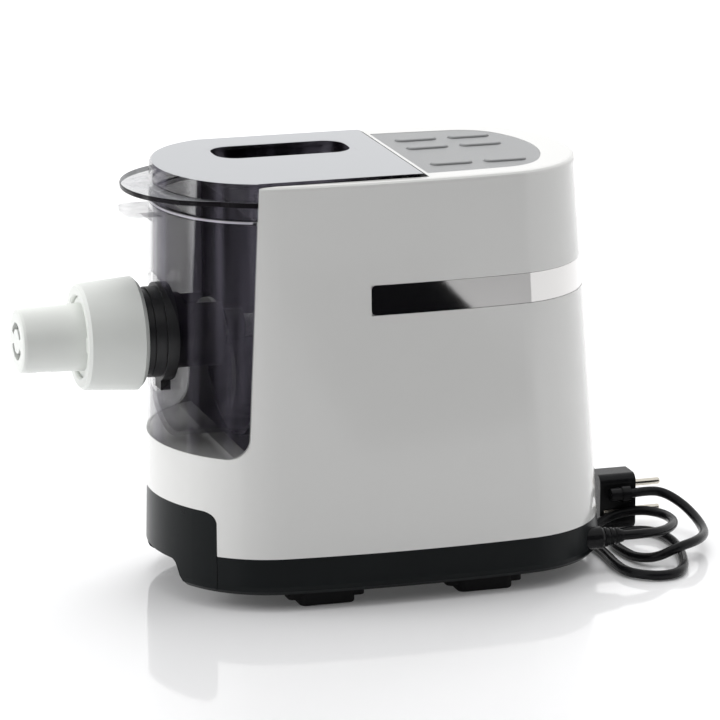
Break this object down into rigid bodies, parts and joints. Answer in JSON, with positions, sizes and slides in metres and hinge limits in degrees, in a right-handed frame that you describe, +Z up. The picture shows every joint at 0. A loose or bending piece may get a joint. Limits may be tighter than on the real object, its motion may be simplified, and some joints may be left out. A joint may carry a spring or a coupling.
{
  "type": "electric pasta maker",
  "caption": "Free-standing electric pasta maker: smoked mixing chamber with screw extruder and die at the front, white housing, top buttons and a drawer below.",
  "frame": {"origin": "on the supporting surface, under the middle of the machine from the die tip to the back (the mains lead not counted)", "axes": "+Z up, -Y towards the front, where the pasta comes out, +X to the side that the picture shows"},
  "size_m": [0.1868, 0.4863, 0.284],
  "materials": {
    "white_gloss_shell": "high gloss white moulding",
    "black_satin_shell": "satin black moulding",
    "black_inner": "fine matt black moulding",
    "smoked_clear": "clear smoked moulding",
    "mirror_trim": "mirror bright trim",
    "grey_panel": "satin silver grey",
    "off_white_matt": "soft off-white moulding",
    "foot_rubber": "soft black rubber",
    "nylon_gear": "natural nylon",
    "shaft_steel": "ground steel",
    "sintered_bronze": "oiled sintered bronze",
    "motor_steel": "zinc-plated steel",
    "board_green": "green laminate",
    "cord_black": "black flexible jacket",
    "pin_metal": "plated brass",
    "screw_steel": "zinc-plated"
  },
  "bodies": {
    "root": {"housing": "white_gloss_shell", "base": "black_satin_shell", "feet": "foot_rubber", "bay_liner": "black_inner", "lid_hinge_pins": "shaft_steel", "control_panel": "grey_panel", "control_board": "board_green", "trim_band": "mirror_trim", "gear_case": "black_inner", "gear_cover": "motor_steel", "shaft_bushes": "sintered_bronze", "motor": "motor_steel", "power_board": "board_green", "lid_switch": "black_inner", "base_screws": "screw_steel", "cord_gland": "cord_black", "mains_cord": "cord_black", "plug_body": "cord_black", "plug_pins": "pin_metal"},
    "drawer": {"accessory_drawer": "black_satin_shell"},
    "lid": {"lid": "smoked_clear"},
    "chamber": {"mixing_chamber": "smoked_clear", "chamber_cover": "smoked_clear", "extrusion_barrel": "black_inner", "shaping_die": "off_white_matt"},
    "auger": {"auger": "off_white_matt", "mixing_paddle": "black_inner"},
    "ring": {"ring_nut": "off_white_matt"},
    "output": {"output_shaft": "shaft_steel", "output_gear": "nylon_gear"},
    "layshaft": {"lay_shaft": "shaft_steel", "lay_gear": "nylon_gear"},
    "motor_rotor": {"motor_shaft": "shaft_steel", "cooling_fan": "black_inner"},
    "button_1": {"button_1": "grey_panel"},
    "button_2": {"button_2": "grey_panel"},
    "button_3": {"button_3": "grey_panel"},
    "button_4": {"button_4": "grey_panel"},
    "button_5": {"button_5": "grey_panel"},
    "button_6": {"button_6": "grey_panel"}
  },
  "joints": [
    {"name": "output_spin", "type": "hinge", "parent": "root", "child": "output", "pos_m": [0, 0.07035, 0.173], "axis": [0, 1, 0], "continuous": true},
    {"name": "layshaft_spin", "type": "hinge", "parent": "root", "child": "layshaft", "pos_m": [0.01601, 0.07035, 0.123], "axis": [0, 1, 0], "continuous": true},
    {"name": "motor_spin", "type": "hinge", "parent": "root", "child": "motor_rotor", "pos_m": [0, 0.10435, 0.073], "axis": [0, 1, 0], "continuous": true},
    {"name": "chamber_slide", "type": "slide", "parent": "root", "child": "chamber", "axis": [0, -1, 0], "range_m": [0, 0.185]},
    {"name": "auger_spin", "type": "hinge", "parent": "chamber", "child": "auger", "pos_m": [0, -0.01565, 0.173], "axis": [0, 1, 0], "continuous": true},
    {"name": "ring_turn", "type": "hinge", "parent": "chamber", "child": "ring", "pos_m": [0, -0.13565, 0.173], "axis": [0, 1, 0], "range_deg": [0, 50]},
    {"name": "lid_hinge", "type": "hinge", "parent": "root", "child": "lid", "pos_m": [0, 0.05575, 0.28], "axis": [-1, 0, 0], "range_deg": [0, 75]},
    {"name": "drawer_slide", "type": "slide", "parent": "root", "child": "drawer", "axis": [0, -1, 0], "range_m": [0, 0.105]},
    {"name": "button_1_press", "type": "slide", "parent": "root", "child": "button_1", "axis": [0, 0, -1], "range_m": [0, 0.0008], "stiffness_N_per_m": 400, "springref_m": -0.0003},
    {"name": "button_2_press", "type": "slide", "parent": "root", "child": "button_2", "axis": [0, 0, -1], "range_m": [0, 0.0008], "stiffness_N_per_m": 400, "springref_m": -0.0003},
    {"name": "button_3_press", "type": "slide", "parent": "root", "child": "button_3", "axis": [0, 0, -1], "range_m": [0, 0.0008], "stiffness_N_per_m": 400, "springref_m": -0.0003},
    {"name": "button_4_press", "type": "slide", "parent": "root", "child": "button_4", "axis": [0, 0, -1], "range_m": [0, 0.0008], "stiffness_N_per_m": 400, "springref_m": -0.0003},
    {"name": "button_5_press", "type": "slide", "parent": "root", "child": "button_5", "axis": [0, 0, -1], "range_m": [0, 0.0008], "stiffness_N_per_m": 400, "springref_m": -0.0003},
    {"name": "button_6_press", "type": "slide", "parent": "root", "child": "button_6", "axis": [0, 0, -1], "range_m": [0, 0.0008], "stiffness_N_per_m": 400, "springref_m": -0.0003}
  ],
  "couplings": [
    {"joint": "layshaft_spin", "follows": "output_spin", "ratio": -4},
    {"joint": "motor_spin", "follows": "output_spin", "ratio": 16},
    {"joint": "auger_spin", "follows": "output_spin", "ratio": 1}
  ]
}
